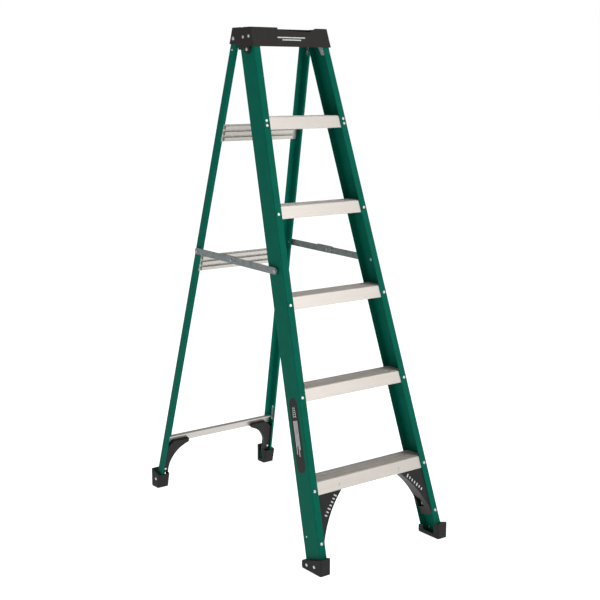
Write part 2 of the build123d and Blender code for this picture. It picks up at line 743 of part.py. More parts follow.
rear_link_length = spreader_run - front_link_length
with BuildPart() as rear_link:
    with BuildSketch(link_plane(inner_link_x, centre_pivot)):
        with Locations((-rear_link_tail, 0)):
            Rectangle(rear_link_length + rear_link_tail, spreader_width, align=(Align.MIN, Align.CENTER))
        with Locations((rear_link_length, 0)):
            Circle(spreader_width / 2)
    extrude(amount=spreader_wall)
    # Hood over the top edge of the other link, which stops the pair from sagging past straight.
    with BuildSketch(link_plane(inner_link_x, centre_pivot)):
        with Locations((-rear_link_tail, spreader_width / 2)):
            Rectangle(rear_link_tail + hood_behind, hood_gap + hood_height, align=Align.MIN)
    extrude(amount=spreader_wall)
    with BuildSketch(link_plane(inner_link_x + spreader_wall, centre_pivot)):
        with Locations((-rear_link_tail, spreader_width / 2 + hood_gap)):
            Rectangle(rear_link_tail + hood_behind, hood_height, align=Align.MIN)
    extrude(amount=link_gap + spreader_wall)
    drill([link_plane(inner_link_x, centre_pivot)], pivot_radius + running_gap)
    drill([link_plane(inner_link_x, rear_pivot)], rivet_radius)
save_pair(rear_link, "spreader_rear_link")

stack_x = outer_link_x + spreader_wall
with BuildPart() as front_pin:
    pin_tail = front_rail_x - rail_wall - 0.4
    with BuildSketch(link_plane(pin_tail, front_pivot)):
        Circle(pivot_radius)
    extrude(amount=stack_x + 0.3 - pin_tail)
    with BuildSketch(link_plane(stack_x + 0.3, front_pivot)):
        Circle(big_head_radius)
    extrude(amount=head_height)
    fillet(front_pin.edges().group_by(Axis.X)[-1], head_height * 0.8)
    with BuildSketch(link_plane(pin_tail, front_pivot)):
        Circle(tail_radius + 1)
    extrude(amount=-tail_height)
save_pair(front_pin, "spreader_front_pin")

with BuildPart() as spacer:
    with BuildSketch(link_plane(front_rail_x + 0.6, front_pivot)):
        Circle(8)
        Circle(pivot_radius, mode=Mode.SUBTRACT)
    extrude(amount=outer_link_x - 0.3 - front_rail_x - 0.6)
save_pair(spacer, "spreader_spacer")

with BuildPart() as centre_pin:
    tail_x = inner_link_x - 0.3
    with BuildSketch(link_plane(tail_x, centre_pivot)):
        Circle(pivot_radius)
    extrude(amount=stack_x - tail_x)
    with BuildSketch(link_plane(stack_x, centre_pivot)):
        Circle(head_radius)
    extrude(amount=head_height)
    fillet(centre_pin.edges().group_by(Axis.X)[-1], head_height * 0.8)
    with BuildSketch(link_plane(tail_x, centre_pivot)):
        Circle(tail_radius + 1.2)
    extrude(amount=-1.6)
save_pair(centre_pin, "spreader_centre_pin")

with BuildPart() as rear_stud:
    with BuildSketch(link_plane(inner_link_x, rear_pivot)):
        Circle(rivet_radius)
    extrude(amount=spreader_wall)
    with BuildSketch(link_plane(inner_link_x + spreader_wall, rear_pivot)):
        Circle(head_radius)
    extrude(amount=head_height)
    fillet(rear_stud.edges().group_by(Axis.X)[-1], head_height * 0.8)
save_pair(rear_stud, "spreader_rear_rivet")

# The other end of that rivet: it fills the hole in the rail's web and is headed over inside.
rear_rail_x = half_width(REAR, rear_pivot_slope)
with BuildPart() as rear_tail:
    with BuildSketch(link_plane(rear_rail_x - 0.2, rear_pivot)):
        Circle(rivet_radius)
    extrude(amount=-rail_wall - 0.2)
    with BuildSketch(link_plane(rear_rail_x - rail_wall - 0.4, rear_pivot)):
        Circle(tail_radius)
    extrude(amount=-tail_height)
save_pair(rear_tail, "spreader_rear_tail")

# ---------------------------------------------------------------- rivets
flange_grip = rail_wall + seat_gap + step_wall
save_rivets("step_rivets", [(rivet(flange_grip), front_flange_planes + rear_flange_planes)])
save_rivets("front_brace_rivets", [
    (rivet(rail_wall + seat_gap + brace_wall, tail=brace_tail), brace_flange_plane),
    (rivet(step_wall + seat_gap + brace_wall, head=4.2, tail=brace_tail), brace_skirt_plane)])
save_rivets("horizontal_rivets", [(rivet(rail_wall + seat_gap + step_wall), horizontal_planes)])
save_rivets("rear_brace_rivets", [(rivet(rear_web - rear_brace_depth), rear_brace_plane)])


def web_rivet_planes(frame, spots, stand):
    """Outward planes on a web, with the heads standing off it."""
    return [outward_plane(frame, half_width(frame, slope) + stand, depth, slope) for depth, slope in spots]


def cap_face_x(frame, depth, slope):
    """Outer x of the cap's cheek at a spot on the front rail."""
    return cap_outer_x + cap_draft * (hinge_z - spot(frame, 0, depth, slope).Z)


cap_groups = []
for depth, slope in cap_rail_spots:
    stand = cap_face_x(FRONT, depth, slope) - half_width(FRONT, slope) + 0.35
    cap_groups.append((rivet(stand + rail_wall + 2.5), web_rivet_planes(FRONT, [(depth, slope)], stand)))
save_rivets("cap_rivets", cap_groups)
boot_groups = []
for depth, slope in front_boot_spots:
    stand = front_boot_outer - half_width(FRONT, slope)
    boot_groups.append((rivet(stand + rail_wall + 0.4), web_rivet_planes(FRONT, [(depth, slope)], stand)))
save_rivets("front_boot_rivets", boot_groups)
depth, slope = rear_boot_spots[0]
stand = rear_boot_outer - half_width(REAR, slope)
save_rivets("rear_boot_rivets", [(rivet(stand + rail_wall + 0.4), web_rivet_planes(REAR, rear_boot_spots, stand))])
save_rivets("hinge_plate_rivets", [
    (rivet(rail_wall + 3.0, head=3.6, shank=small_rivet, tail=3.4), hinge_rivet_plane)])

# ---------------------------------------------------------------- labels
with BuildPart() as side_sticker:
    with BuildSketch(web_plane(FRONT, -0.02)):
        with Locations((front_web / 2, side_label_slope)):
            SlotOverall(*side_label, rotation=90)
    extrude(amount=label_thickness)
save_pair(side_sticker, "side_label")

with BuildPart() as rear_sticker:
    with BuildSketch(web_plane(REAR, rail_wall + 0.02)):
        with Locations((rear_web / 2 - 1, rear_label_slope)):
            Rectangle(rear_label[1], rear_label[0])
    extrude(amount=-label_thickness)
save(rear_sticker, "rear_rail_label")
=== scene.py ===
"""Looks of a four-legged folding stepladder with resin rails, ribbed steps and a moulded top cap.

Metres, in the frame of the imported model: +Z up, +X across the ladder, and the steps face -Y.
Pieces that belong to the front or rear frame are placed in a leaning frame of reference, where x runs
across, depth is measured behind the rails' front faces and slope is the length up the rails.
"""
import logging
import math
from dataclasses import dataclass
from enum import Enum
from typing import Any, Iterable, Sequence

import bmesh
import bpy
from mathutils import Matrix, Vector


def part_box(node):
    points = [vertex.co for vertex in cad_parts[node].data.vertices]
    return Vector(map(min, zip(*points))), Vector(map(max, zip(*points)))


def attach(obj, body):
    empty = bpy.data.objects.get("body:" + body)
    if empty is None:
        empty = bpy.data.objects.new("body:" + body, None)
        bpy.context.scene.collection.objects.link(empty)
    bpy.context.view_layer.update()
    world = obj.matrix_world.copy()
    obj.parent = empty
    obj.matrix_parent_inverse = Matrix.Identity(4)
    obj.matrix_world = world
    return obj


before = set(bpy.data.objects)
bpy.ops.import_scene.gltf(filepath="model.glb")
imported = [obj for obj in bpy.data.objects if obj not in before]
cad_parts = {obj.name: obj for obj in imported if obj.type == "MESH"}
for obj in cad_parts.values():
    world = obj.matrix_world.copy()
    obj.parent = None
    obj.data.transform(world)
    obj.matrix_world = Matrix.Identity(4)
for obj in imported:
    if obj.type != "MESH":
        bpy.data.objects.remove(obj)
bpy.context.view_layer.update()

MM = 0.001
REAR_WEB = 29.7 * MM
log = logging.getLogger("stepladder")

Colour = tuple[float, float, float]


class Side(Enum):
    """The two sides of the ladder; the value is the sign of X."""

    LEFT = -1
    RIGHT = 1

    @property
    def word(self) -> str:
        """Lower-case name, as node names end."""
        return self.name.lower()


class Grain(Enum):
    """Direction that streaks or fibres run in; the values stretch Object coordinates."""

    ACROSS = (0.02, 1.0, 1.0)
    UP = (1.0, 1.0, 0.02)
    DEEP = (1.0, 0.02, 1.0)
    NONE = (1.0, 1.0, 1.0)


# ---------------------------------------------------------------- shader building
class Wire:
    """One output or value of a material's tree, with arithmetic that adds Math nodes."""

    def __init__(self, tree: "Tree", socket: Any) -> None:
        """Keep the tree and the socket.

        Args:
            tree: the tree that the socket belongs to.
            socket: a node's output socket, or a plain number.
        """
        self.tree = tree
        self.socket = socket

    def _math(self, operation: str, other: Any = 0.0, flipped: bool = False) -> "Wire":
        """Add one Math node.

        Args:
            operation: the Math node's operation.
            other: a second value or wire.
            flipped: True when the other value comes first.

        Returns:
            The node's result.
        """
        pair = (other, self) if flipped else (self, other)
        return self.tree.node("ShaderNodeMath", {"operation": operation}, {0: pair[0], 1: pair[1]})

    def __add__(self, other: Any) -> "Wire":
        """Sum of two values."""
        return self._math("ADD", other)

    def __radd__(self, other: Any) -> "Wire":
        """Sum of two values."""
        return self._math("ADD", other)

    def __sub__(self, other: Any) -> "Wire":
        """Difference of two values."""
        return self._math("SUBTRACT", other)

    def __rsub__(self, other: Any) -> "Wire":
        """Difference of two values, the other one first."""
        return self._math("SUBTRACT", other, flipped=True)

    def __mul__(self, other: Any) -> "Wire":
        """Product of two values."""
        return self._math("MULTIPLY", other)

    def __rmul__(self, other: Any) -> "Wire":
        """Product of two values."""
        return self._math("MULTIPLY", other)

    def clamped(self) -> "Wire":
        """The value held between 0 and 1."""
        return self.tree.node("ShaderNodeClamp", {}, {"Value": self})


class Tree:
    """A material's node tree: one method adds any node, and a few name the usual ones."""

    def __init__(self, name: str) -> None:
        """Make an empty material.

        Args:
            name: the material's name.
        """
        self.material = bpy.data.materials.new(name)
        self.material.use_nodes = True
        self.nodes = self.material.node_tree.nodes
        self.links = self.material.node_tree.links
        self.nodes.clear()

    def node(self, kind: str, settings: dict[str, Any], inputs: dict[Any, Any], output: Any = 0) -> Wire:
        """Add one node.

        Args:
            kind: the node's type.
            settings: properties to set before the inputs; "stops" gives a colour ramp's stops.
            inputs: values or wires by socket name or index.
            output: name or index of the output to return.

        Returns:
            The chosen output.
        """
        made = self.nodes.new(kind)
        for key, value in settings.items():
            if key == "stops":
                self._set_stops(made.color_ramp, value)
            else:
                setattr(made, key, value)
        for key, value in inputs.items():
            if isinstance(value, Wire):
                self.links.new(value.socket, made.inputs[key])
            else:
                made.inputs[key].default_value = value
        return Wire(self, made.outputs[output])

    @staticmethod
    def _set_stops(ramp: Any, stops: Sequence[tuple[float, Any]]) -> None:
        """Give a colour ramp its stops.

        Args:
            ramp: the colour ramp.
            stops: (position, grey or colour) pairs.
        """
        while len(ramp.elements) < len(stops):
            ramp.elements.new(0.5)
        for element, (position, value) in zip(ramp.elements, stops):
            element.position = position
            colour = (value, value, value) if isinstance(value, (int, float)) else value
            element.color = (*colour, 1.0)

    def position(self, stretch: Sequence[float] = (1, 1, 1), turn: Sequence[float] = (0, 0, 0)) -> Wire:
        """Object coordinates, turned and stretched.

        Args:
            stretch: scale along each axis.
            turn: rotation in radians.

        Returns:
            The coordinates.
        """
        coordinates = self.node("ShaderNodeTexCoord", {}, {}, "Object")
        return self.node("ShaderNodeMapping", {}, {"Vector": coordinates, "Rotation": turn, "Scale": stretch})

    def noise(self, where: Wire, scale: float, detail: float = 3.0, roughness: float = 0.55) -> Wire:
        """Smooth noise from 0 to 1.

        Args:
            where: coordinates.
            scale: cells per metre.
            detail: octaves.
            roughness: weight of the finer octaves.

        Returns:
            The noise value.
        """
        return self.node("ShaderNodeTexNoise", {}, {"Vector": where, "Scale": scale, "Detail": detail,
                                                    "Roughness": roughness})

    def ramp(self, value: Wire, stops: Sequence[tuple[float, Any]]) -> Wire:
        """A value mapped through stops.

        Args:
            value: what is mapped.
            stops: (position, grey or colour) pairs.

        Returns:
            The mapped value or colour.
        """
        return self.node("ShaderNodeValToRGB", {"stops": stops}, {"Fac": value})

    def mix(self, share: Any, low: Any, high: Any) -> Wire:
        """A blend of two colours.

        Args:
            share: 0 gives the low colour and 1 the high one.
            low: first colour or wire.
            high: second colour or wire.

        Returns:
            The blended colour.
        """
        ends = [(*c, 1.0) if isinstance(c, tuple) and len(c) == 3 else c for c in (low, high)]
        return self.node("ShaderNodeMix", {"data_type": "RGBA"}, {0: share, 6: ends[0], 7: ends[1]}, 2)

    def edges(self, radius: float) -> tuple[Wire, Wire]:
        """Softened normal and a mask that is 1 on sharp edges.

        Args:
            radius: how far from an edge it reaches.

        Returns:
            (normal, edge mask).
        """
        soft = self.node("ShaderNodeBevel", {"samples": 4}, {"Radius": radius})
        flat = self.node("ShaderNodeNewGeometry", {}, {}, "Normal")
        along = self.node("ShaderNodeVectorMath", {"operation": "DOT_PRODUCT"}, {0: soft, 1: flat}, "Value")
        return soft, ((1.0 - along) * 6.0).clamped()

    def bump(self, height: Wire, distance: float, strength: float = 1.0, normal: Any = None) -> Wire:
        """Surface relief.

        Args:
            height: height map from 0 to 1.
            distance: height of the relief in metres.
            strength: share of the relief that shows.
            normal: normal to start from.

        Returns:
            The new normal.
        """
        inputs = {"Height": height, "Distance": distance, "Strength": strength}
        if normal is not None:
            inputs["Normal"] = normal
        return self.node("ShaderNodeBump", {}, inputs)

    def surface(self, **sockets: Any) -> bpy.types.Material:
        """Finish the material with one Principled shader.

        Args:
            sockets: shader inputs, with underscores for spaces.

        Returns:
            The material.
        """
        inputs = {key.replace("_", " "): value for key, value in sockets.items()}
        shader = self.node("ShaderNodeBsdfPrincipled", {}, inputs)
        self.node_output(shader)
        return self.material

    def node_output(self, shader: Wire) -> None:
        """Join the shader to the material's output."""
        output = self.nodes.new("ShaderNodeOutputMaterial")
        self.links.new(shader.socket, output.inputs["Surface"])


# ---------------------------------------------------------------- finishes
@dataclass(frozen=True)
class ResinFinish:
    """Pultruded glass-fibre rail: green resin over fibres that run along the rail, with lighter edges that are
    partly wear and partly a painted highlight along the corners.
    """

    name: str
    lean: float
    deep: Colour = (0.0006, 0.098, 0.062)
    pale: Colour = (0.0015, 0.136, 0.092)
    worn: Colour = (0.020, 0.270, 0.195)

    def build(self) -> bpy.types.Material:
        """Make the material.

        Returns:
            The material.
        """
        tree = Tree(self.name)
        along = tree.position((1.0, 1.0, 0.015), (self.lean, 0.0, 0.0))
        even = tree.position()
        fibre = tree.noise(along, 900.0, 4.0, 0.65)
        cloud = tree.noise(even, 22.0, 3.0)
        fleck = tree.noise(even, 1400.0, 2.0)
        normal, edge = tree.edges(0.9 * MM)
        share = (fibre * 0.55 + cloud * 0.45)
        colour = tree.mix(tree.ramp(share, [(0.30, 0.0), (0.72, 1.0)]), self.deep, self.pale)
        # Lighter green on sharp edges, in patches: partly wear, partly a painted highlight along the rail's corners.
        rub_and_highlight_patches = tree.ramp(tree.noise(even, 140.0, 4.0), [(0.42, 0.15), (0.66, 1.0)])
        colour = tree.mix(edge * rub_and_highlight_patches * 0.55, colour, (*self.worn, 1.0))
        roughness = 0.36 + cloud * 0.10 + fleck * 0.05
        height = fibre * 0.6 + fleck * 0.4
        return tree.surface(Base_Color=colour, Roughness=roughness, Coat_Weight=0.0, Coat_Roughness=0.3,
                            Specular_IOR_Level=0.03, Normal=tree.bump(height, 0.05 * MM, 0.8, normal))


@dataclass(frozen=True)
class AluminiumFinish:
    """Mill-finish extrusion with fine die lines along its length, a little oxide, and a painted highlight on its
    sharp edges.
    """

    name: str
    grain: Grain = Grain.ACROSS
    base: Colour = (0.62, 0.575, 0.53)
    oxide: Colour = (0.50, 0.47, 0.44)
    roughness: float = 0.44
    metallic: float = 0.78

    def build(self) -> bpy.types.Material:
        """Make the material.

        Returns:
            The material.
        """
        tree = Tree(self.name)
        along = tree.position(self.grain.value)
        even = tree.position()
        lines = tree.noise(along, 1500.0, 3.0, 0.7)
        broad = tree.noise(along, 180.0, 2.0)
        cloud = tree.noise(even, 16.0, 4.0)
        speck = tree.ramp(tree.noise(even, 420.0, 3.0), [(0.66, 0.0), (0.74, 1.0)])
        normal, edge = tree.edges(0.5 * MM)
        colour = tree.mix((cloud * 0.6 + broad * 0.4), (*self.oxide, 1.0), (*self.base, 1.0))
        colour = tree.mix(speck * 0.18, colour, (0.36, 0.34, 0.32, 1.0))
        # Painted highlight: sharp edges are lightened towards a pale metal colour.
        colour = tree.mix(edge * 0.5, colour, (0.80, 0.78, 0.75, 1.0))
        roughness = self.roughness + (lines - 0.5) * 0.22 + (cloud - 0.5) * 0.10
        return tree.surface(Base_Color=colour, Roughness=roughness, Metallic=self.metallic,
                            Normal=tree.bump(lines, 0.03 * MM, 0.8, normal))


@dataclass(frozen=True)
class MouldedFinish:
    """Moulded black plastic or rubber with a fine spark-eroded texture, a little dust, and lighter edges that are
    partly scuffs and partly a painted highlight.
    """

    name: str
    base: Colour = (0.020, 0.0185, 0.0170)
    scuff: Colour = (0.060, 0.058, 0.055)
    roughness: float = 0.55
    texture: float = 1900.0
    relief: float = 0.06
    edge_radius: float = 0.8

    def build(self) -> bpy.types.Material:
        """Make the material.

        Returns:
            The material.
        """
        tree = Tree(self.name)
        even = tree.position()
        grain = tree.noise(even, self.texture, 3.0, 0.6)
        cloud = tree.noise(even, 26.0, 4.0)
        flow = tree.noise(tree.position(Grain.UP.value), 300.0, 2.0)
        normal, edge = tree.edges(self.edge_radius * MM)
        # Lighter colour on sharp edges, in patches: partly scuffs, partly a painted highlight. The cloudy share is
        # dust.
        rub_and_highlight_patches = tree.ramp(tree.noise(even, 210.0, 4.0), [(0.40, 0.1), (0.70, 1.0)])
        dust = tree.ramp(cloud, [(0.35, 0.0), (0.80, 0.45)])
        colour = tree.mix(dust * 0.35 + edge * rub_and_highlight_patches * 0.6, (*self.base, 1.0), (*self.scuff, 1.0))
        roughness = self.roughness + (grain - 0.5) * 0.16 + (cloud - 0.5) * 0.10 + (flow - 0.5) * 0.05
        return tree.surface(Base_Color=colour, Roughness=roughness, Specular_IOR_Level=0.16,
                            Normal=tree.bump(grain, self.relief * MM, 0.9, normal))


@dataclass(frozen=True)
class ZincFinish:
    """Zinc-plated steel: soft crystals, rolling lines, darker patches, and a painted highlight on its sharp edges.
    """

    name: str
    base: Colour = (0.235, 0.262, 0.262)
    dark: Colour = (0.120, 0.140, 0.138)
    roughness: float = 0.42
    metallic: float = 0.75
    grain: Grain = Grain.DEEP

    def build(self) -> bpy.types.Material:
        """Make the material.

        Returns:
            The material.
        """
        tree = Tree(self.name)
        even = tree.position()
        cells = tree.node("ShaderNodeTexVoronoi", {}, {"Vector": even, "Scale": 260.0}, "Color")
        crystal = tree.node("ShaderNodeSeparateColor", {}, {"Color": cells}, 0)
        lines = tree.noise(tree.position(self.grain.value), 900.0, 3.0)
        cloud = tree.noise(even, 40.0, 4.0)
        normal, edge = tree.edges(0.4 * MM)
        share = tree.ramp(crystal * 0.25 + cloud * 0.5 + lines * 0.25, [(0.30, 0.0), (0.68, 1.0)])
        colour = tree.mix(share, (*self.dark, 1.0), (*self.base, 1.0))
        # Painted highlight: sharp edges are lightened towards a pale zinc colour.
        colour = tree.mix(edge * 0.5, colour, (0.50, 0.52, 0.52, 1.0))
        roughness = self.roughness + (crystal - 0.5) * 0.12 + (lines - 0.5) * 0.12
        return tree.surface(Base_Color=colour, Roughness=roughness, Metallic=self.metallic,
                            Normal=tree.bump(lines * 0.5 + crystal * 0.5, 0.02 * MM, 0.7, normal))


@dataclass(frozen=True)
class FilmFinish:
    """Printed vinyl film or ink with a slightly uneven gloss."""

    name: str
    base: Colour
    roughness: float = 0.34

    def build(self) -> bpy.types.Material:
        """Make the material.

        Returns:
            The material.
        """
        tree = Tree(self.name)
        even = tree.position()
        cloud = tree.noise(even, 60.0, 3.0)
        speck = tree.noise(even, 900.0, 2.0)
        faded = tuple(channel * 0.82 for channel in self.base)
        colour = tree.mix(tree.ramp(cloud, [(0.35, 0.0), (0.70, 1.0)]), (*faded, 1.0), (*self.base, 1.0))
        roughness = self.roughness + (cloud - 0.5) * 0.14 + (speck - 0.5) * 0.06
        return tree.surface(Base_Color=colour, Roughness=roughness, Coat_Weight=0.04, Coat_Roughness=0.2,
                            Specular_IOR_Level=0.12,
                            Normal=tree.bump(speck, 0.01 * MM, 0.6))


# ---------------------------------------------------------------- leaning frames of reference
@dataclass(frozen=True)
class LeaningFrame:
    """The plane of a pair of rails: where it meets the floor, its lean and how the rails come in."""

    foot_y: float
    up: Vector
    back: Vector
    base_half: float
    flare: float

    @classmethod
    def measured(cls, low: str, high: str, rail: str, behind: float) -> "LeaningFrame":
        """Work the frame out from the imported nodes.

        Args:
            low: a cross-piece low on the rails.
            high: the same kind of cross-piece higher up.
            rail: the right-hand rail.
            behind: depth of the rail's face that stands furthest out at its foot.

        Returns:
            The leaning frame.
        """
        boxes = [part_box(name) for name in (low, high)]
        centres = [(lo + hi) / 2 for lo, hi in boxes]
        climb = centres[1] - centres[0]
        slope = math.hypot(climb.y, climb.z)
        up = Vector((0.0, climb.y / slope, climb.z / slope))
        back = Vector((0.0, up.z, -up.y))
        flare = (boxes[0][1].x - boxes[1][1].x) / slope
        lo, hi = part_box(rail)
        edge_y = lo.y if behind == 0 else hi.y
        foot_y = edge_y - lo.z * up.y / up.z - behind / back.y
        lowest = lo.z / up.z - (behind * up.y * -1 if behind == 0 else 0.0)
        return cls(foot_y, up, back, hi.x + flare * lowest, flare)

    def point(self, x: float, depth: float, slope: float) -> Vector:
        """A point given across, behind the rails' faces and up the slope."""
        return Vector((x, self.foot_y, 0.0)) + self.back * depth + self.up * slope

    def half(self, slope: float) -> float:
        """Outer half width of the rails at a slope length."""
        return self.base_half - self.flare * slope

    def slope_at(self, z: float, depth: float) -> float:
        """Slope length of the point at height z and a depth."""
        return (z - self.back.z * depth) / self.up.z

    def turn(self) -> Matrix:
        """Rotation that takes +X, +Y, +Z to across, back and up the slope."""
        return Matrix((Vector((1, 0, 0)), self.back, self.up)).transposed().to_4x4()


@dataclass(frozen=True)
class Board:
    """A flat drawing board in space: u and v run in its plane and w stands out of it."""

    origin: Vector
    u: Vector
    v: Vector

    @property
    def w(self) -> Vector:
        """The direction that the board faces."""
        return self.u.cross(self.v).normalized()

    def matrix(self, u: float = 0.0, v: float = 0.0, w: float = 0.0, turn: float = 0.0) -> Matrix:
        """Placement of a shape drawn about (u, v), turned in the board and raised by w.

        Args:
            u: distance along u.
            v: distance along v.
            w: height above the board.
            turn: angle in radians from u towards v.

        Returns:
            The placement.
        """
        axes = Matrix((self.u.normalized(), self.v.normalized(), self.w)).transposed().to_4x4()
        place = Matrix.Translation(self.origin + self.u.normalized() * u + self.v.normalized() * v + self.w * w)
        return place @ axes @ Matrix.Rotation(turn, 4, "Z")


# ---------------------------------------------------------------- mesh helpers
class Workpiece:
    """A mesh under construction, which ends as one object that rides on a body."""

    def __init__(self, name: str) -> None:
        """Start an empty mesh.

        Args:
            name: the name of the finished piece.
        """
        self.name = name
        self.mesh = bmesh.new()

    def block(self, size: Sequence[float], place: Matrix) -> list[Any]:
        """Add a rectangular block.

        Args:
            size: lengths along the block's axes.
            place: placement of its centre.

        Returns:
            Its vertices.
        """
        matrix = place @ Matrix.Diagonal((*size, 1.0))
        return bmesh.ops.create_cube(self.mesh, size=1.0, matrix=matrix)["verts"]

    def finish(self, material: bpy.types.Material, body: str, smooth: float = 0.6) -> bpy.types.Object:
        """Turn the mesh into an object at the origin that rides on a body.

        Args:
            material: what it is made of.
            body: the body it moves with.
            smooth: largest angle between faces that are shaded as one surface, in radians.

        Returns:
            The object.
        """
        bmesh.ops.remove_doubles(self.mesh, verts=self.mesh.verts, dist=1e-6)
        bmesh.ops.recalc_face_normals(self.mesh, faces=self.mesh.faces)
        for face in self.mesh.faces:
            face.smooth = True
        for edge in self.mesh.edges:
            edge.smooth = edge.calc_face_angle(0.0) < smooth
        data = bpy.data.meshes.new(self.name)
        self.mesh.to_mesh(data)
        self.mesh.free()
        data.materials.append(material)
        piece = bpy.data.objects.new(self.name, data)
        bpy.context.scene.collection.objects.link(piece)
        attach(piece, body)
        log.info("made %s with %d faces", self.name, len(data.polygons))
        return piece


def node_of(name: str) -> bpy.types.Object:
    """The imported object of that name."""
    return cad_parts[name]


def dress(names: Iterable[str], material: bpy.types.Material) -> None:
    """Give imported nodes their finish.

    Args:
        names: node names.
        material: the finish.
    """
    for name in names:
        piece = node_of(name)
        piece.data.materials.clear()
        piece.data.materials.append(material)
        log.info("dressed %s", name)


def both(stem: str) -> list[str]:
    """The left and right nodes of a pair."""
    return [f"{stem}_{side.word}" for side in Side]


# ---------------------------------------------------------------- sub-assemblies
@dataclass
class FrontFrame:
    """The two front rails."""

    lean: LeaningFrame

    def build(self) -> None:
        """Dress the rails."""
        angle = math.atan2(self.lean.up.y, self.lean.up.z)
        resin = ResinFinish("front_resin", angle).build()
        dress(both("front_rail"), resin)


@dataclass
class Steps:
    """The five ribbed steps and the saw-tooth grip on their ribs."""

    lean: LeaningFrame
    body: str = "front_frame"
    count: int = 5
    tooth_pitch: float = 4.4 * MM
    tooth_width: float = 2.4 * MM
    tooth_height: float = 1.1 * MM
    tooth_depth: float = 2.0 * MM
    skirt_depth: float = 3.5 * MM
    rib_height: float = 0.9 * MM
    rib_count: int = 12
    rib_group: int = 4
    tread_depth: float = 73.0 * MM
    first_rib: float = 1.1
    group_gap: float = 0.9
    rib_spaces: float = 3.2
    crown: tuple[float, float, float] = (0.45, 0.7, 1.0)
    end_margin: float = 10.0 * MM

    def build(self) -> None:
        """Dress the steps and cut the grip into their ribs."""
        metal = AluminiumFinish("step_metal").build()
        names = [f"step_{n}" for n in range(1, self.count + 1)]
        dress(names, metal)
        grip = AluminiumFinish("grip_metal", base=(0.66, 0.62, 0.58), roughness=0.40).build()
        for name in names:
            self._teeth(name, grip)

    def _teeth(self, name: str, material: bpy.types.Material) -> None:
        """Add the row of teeth on each rib of one step.

        Args:
            name: the step's node.
            material: finish of the teeth.
        """
        lo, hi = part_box(name)
        top = hi.z - self.rib_height / 2
        depth_y = self.tread_depth / self.lean.back.y
        front = self.lean.point(0.0, self.skirt_depth, self.lean.slope_at(top, self.skirt_depth))
        half = hi.x - self.end_margin
        teeth = int(2 * half / self.tooth_pitch)
        work = Workpiece(f"{name}_grip")
        for rib in range(self.rib_count):
            place_in_row = rib + self.first_rib + (rib // self.rib_group) * self.group_gap
            share = place_in_row / (self.rib_count + self.rib_spaces)
            y = front.y + share * depth_y
            for tooth in range(teeth + 1):
                x = (tooth - teeth / 2) * self.tooth_pitch
                place = Matrix.Translation(Vector((x, y, top + self.rib_height / 2)))
                verts = work.block((self.tooth_width, self.tooth_depth, 2 * self.tooth_height), place)
                crown = [v for v in verts if v.co.z > place.translation.z]
                bmesh.ops.scale(work.mesh, verts=crown, vec=self.crown, space=place.inverted())
        work.finish(material, self.body)


@dataclass
class TopCap:
    """The moulded cap."""

    def build(self) -> None:
        """Dress the cap."""
        plastic = MouldedFinish("cap_plastic", base=(0.0235, 0.0205, 0.0180)).build()
        dress(["top_cap"], plastic)


@dataclass
class Feet:
    """Boots and knee braces."""

    def build(self) -> None:
        """Dress the boots and the braces."""
        rubber = MouldedFinish("boot_rubber", base=(0.0150, 0.0152, 0.0165), roughness=0.62, texture=1200.0).build()
        plastic = MouldedFinish("brace_plastic", base=(0.0165, 0.0160, 0.0160), roughness=0.50).build()
        dress(both("front_boot") + both("rear_boot"), rubber)
        dress(both("front_knee_brace") + both("rear_knee_brace"), plastic)


@dataclass
class RearFrame:
    """Rear rails and their three horizontal bars."""

    lean: LeaningFrame

    def build(self) -> None:
        """Dress the rails and bars."""
        angle = math.atan2(self.lean.up.y, self.lean.up.z)
        resin = ResinFinish("rear_resin", angle).build()
        dress(both("rear_rail"), resin)
        metal = AluminiumFinish("bar_metal", base=(0.60, 0.58, 0.55)).build()
        dress([f"rear_horizontal_{n}" for n in ("lower", "middle", "upper")], metal)


@dataclass
class Spreaders:
    """The folding spreader links on each side and their pins."""

    def build(self) -> None:
        """Dress links, pins and spacers."""
        strip = ZincFinish("spreader_zinc").build()
        bright = ZincFinish("pin_zinc", base=(0.42, 0.43, 0.43), dark=(0.30, 0.31, 0.31)).build()
        dress(both("spreader_front_link") + both("spreader_rear_link"), strip)
        pins = both("spreader_centre_pin") + both("spreader_rear_rivet") + both("spreader_rear_tail")
        dress(pins + both("spreader_front_pin") + both("spreader_spacer"), bright)


@dataclass
class Fasteners:
    """Rivets, bolts, nuts and backing plates."""

    rivet_nodes: Sequence[str] = ("step_rivets", "cap_rivets", "front_boot_rivets", "front_brace_rivets",
                                  "horizontal_rivets", "rear_boot_rivets", "rear_brace_rivets", "hinge_plate_rivets")

    def build(self) -> None:
        """Dress them."""
        bright = AluminiumFinish("rivet_metal", Grain.NONE, (0.66, 0.68, 0.66), (0.52, 0.55, 0.54), 0.34).build()
        plate = ZincFinish("bracket_zinc", base=(0.40, 0.41, 0.41), dark=(0.28, 0.29, 0.29)).build()
        dress(list(self.rivet_nodes) + both("pivot_bolt") + both("pivot_nut") + both("front_brace_bolt"), bright)
        dress(both("cap_plate") + both("hinge_plate"), plate)


@dataclass
class Labels:
    """Blank films on the rails."""

    def build(self) -> None:
        """Dress the films."""
        black = FilmFinish("label_black", (0.010, 0.010, 0.011)).build()
        white = FilmFinish("label_white", (0.70, 0.72, 0.70)).build()
        dress(both("side_label"), black)
        dress(["rear_rail_label"], white)


